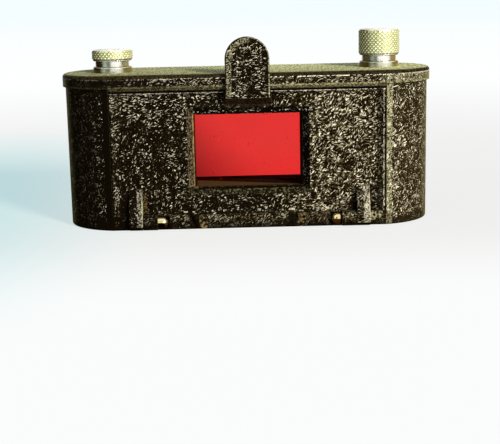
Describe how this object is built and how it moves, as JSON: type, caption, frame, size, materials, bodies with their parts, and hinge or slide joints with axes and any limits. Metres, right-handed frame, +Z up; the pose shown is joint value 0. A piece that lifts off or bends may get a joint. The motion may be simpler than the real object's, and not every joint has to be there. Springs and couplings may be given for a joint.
{
  "type": "slide duplicator",
  "caption": "Hand-held contact duplicator for film strips: a long round-ended case, a hinged door with a red window and a thumb tongue, and a lift-off lid with knurled winding knobs.",
  "frame": {"origin": "middle of the case's base, half-way between its flat front and rear", "axes": "+X along the case to the tall knob, +Y to the rear window, +Z up; the door faces -Y"},
  "size_m": [0.1264, 0.0389, 0.065],
  "materials": {
    "wrinkle_lacquer": "black wrinkle lacquer on cast light alloy, half gloss",
    "black_enamel": "satin black enamel",
    "lacquered_studs": "brass studs, lacquered black on the door's face",
    "dull_brass": "dull, tarnished sheet brass",
    "polished_nickel": "polished nickel plate",
    "brass": "turned brass, lightly tarnished",
    "spring_steel": "bright spring steel",
    "blued_steel": "blued steel",
    "black_velvet": "black velvet pile",
    "red_glass": "deep red filter glass",
    "clear_glass": "clear polished glass"
  },
  "bodies": {
    "case": {"case_body": "wrinkle_lacquer", "film_gate": "polished_nickel", "film_gate_screws": "blued_steel", "gate_glass": "clear_glass", "rear_window_glass": "clear_glass", "rear_window_frame": "black_enamel", "rear_frame_screws": "polished_nickel", "door_light_seal": "black_velvet", "left_hinge_pin": "brass", "right_hinge_pin": "brass", "left_hinge_spring": "spring_steel", "right_hinge_spring": "spring_steel", "left_spool_pivot": "brass", "right_spool_pivot": "brass"},
    "door": {"door_panel": "wrinkle_lacquer", "pressure_frame_studs": "lacquered_studs", "pressure_springs": "spring_steel"},
    "pressure_box": {"pressure_frame": "dull_brass", "red_filter_glass": "red_glass"},
    "lid": {"lid_cover": "wrinkle_lacquer", "lid_grip_springs": "spring_steel", "left_bushing": "polished_nickel", "right_bushing": "polished_nickel", "left_bushing_nut": "brass", "right_bushing_nut": "brass", "left_brake_washer": "spring_steel", "right_brake_washer": "spring_steel"},
    "left_winder": {"left_knob": "polished_nickel", "left_knob_screw": "polished_nickel", "left_spindle": "polished_nickel"},
    "right_winder": {"right_knob": "polished_nickel", "right_knob_screw": "polished_nickel", "right_spindle": "polished_nickel"},
    "left_spool": {"left_spool_core": "brass", "left_spool_flanges": "black_enamel"},
    "right_spool": {"right_spool_core": "brass", "right_spool_flanges": "black_enamel", "take_up_film_clip": "spring_steel"}
  },
  "joints": [
    {"name": "door_hinge", "type": "hinge", "parent": "case", "child": "door", "pos_m": [0, -0.0179, 0.00275], "axis": [1, 0, 0], "range_deg": [0, 90], "stiffness_Nm_per_rad": 0.01, "springref_deg": -85.94},
    {"name": "pressure_frame_press", "type": "slide", "parent": "door", "child": "pressure_box", "axis": [0, -1, 0], "range_m": [0, 0.0004], "stiffness_N_per_m": 600, "springref_m": -0.002},
    {"name": "lid_lift", "type": "slide", "parent": "case", "child": "lid", "axis": [0, 0, 1], "range_m": [0, 0.06]},
    {"name": "left_spool_turn", "type": "hinge", "parent": "case", "child": "left_spool", "pos_m": [-0.04585, 0, 0.02], "axis": [0, 0, 1], "continuous": true},
    {"name": "right_spool_turn", "type": "hinge", "parent": "case", "child": "right_spool", "pos_m": [0.04585, 0, 0.02], "axis": [0, 0, 1], "continuous": true},
    {"name": "left_knob_turn", "type": "hinge", "parent": "lid", "child": "left_winder", "pos_m": [-0.04585, 0, 0.056], "axis": [0, 0, 1], "continuous": true},
    {"name": "right_knob_turn", "type": "hinge", "parent": "lid", "child": "right_winder", "pos_m": [0.04585, 0, 0.056], "axis": [0, 0, 1], "continuous": true}
  ],
  "couplings": [
    {"joint": "left_knob_turn", "follows": "left_spool_turn", "ratio": 1},
    {"joint": "right_knob_turn", "follows": "right_spool_turn", "ratio": 1}
  ]
}
